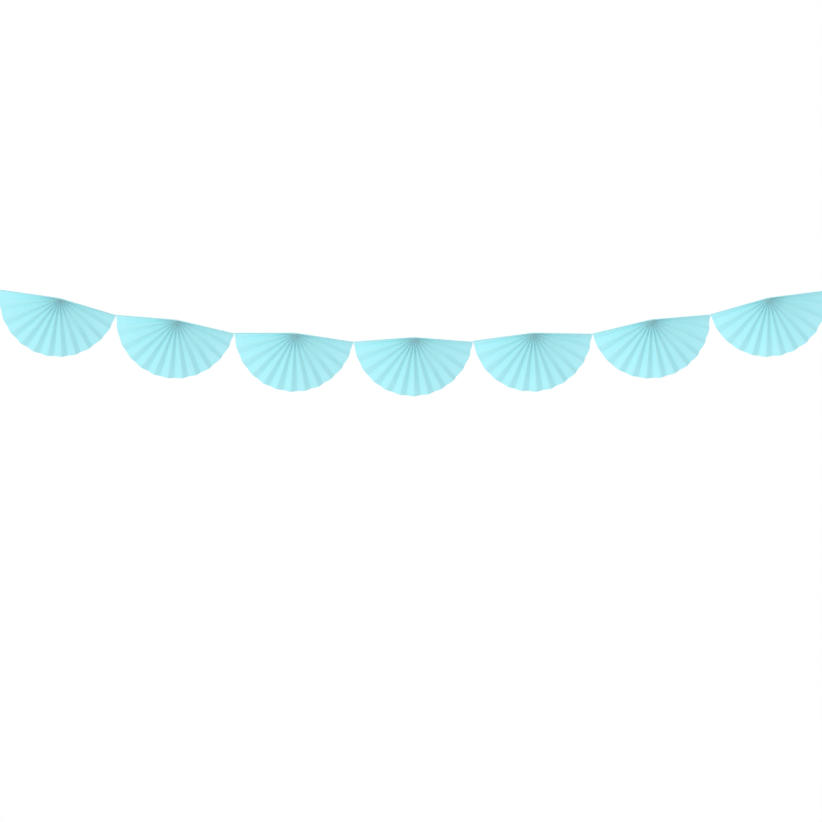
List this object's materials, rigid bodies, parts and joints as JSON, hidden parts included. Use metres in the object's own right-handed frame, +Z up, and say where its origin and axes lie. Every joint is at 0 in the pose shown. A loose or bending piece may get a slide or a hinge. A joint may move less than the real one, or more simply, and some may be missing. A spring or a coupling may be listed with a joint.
{
  "type": "paper rosette garland",
  "caption": "Hanging garland of pleated half rosettes in pale turquoise paper, side by side on one cord with a loop at each end.",
  "frame": {"origin": "middle of the garland's box: below the middle rosette's hub, on the garland's plane of symmetry", "axes": "+X along the garland to the viewer's right, +Y from its front to its back, +Z up as it hangs"},
  "size_m": [3.081, 0.0096, 0.4066],
  "materials": {
    "paper": "matte uncoated paper",
    "cord": "matte twisted cord"
  },
  "bodies": {
    "root": {"rosette_1": "paper", "rosette_2": "paper", "rosette_3": "paper", "rosette_4": "paper", "rosette_5": "paper", "rosette_6": "paper", "rosette_7": "paper", "hanging_cord": "cord", "left_hanging_loop": "cord", "right_hanging_loop": "cord"}
  },
  "joints": []
}
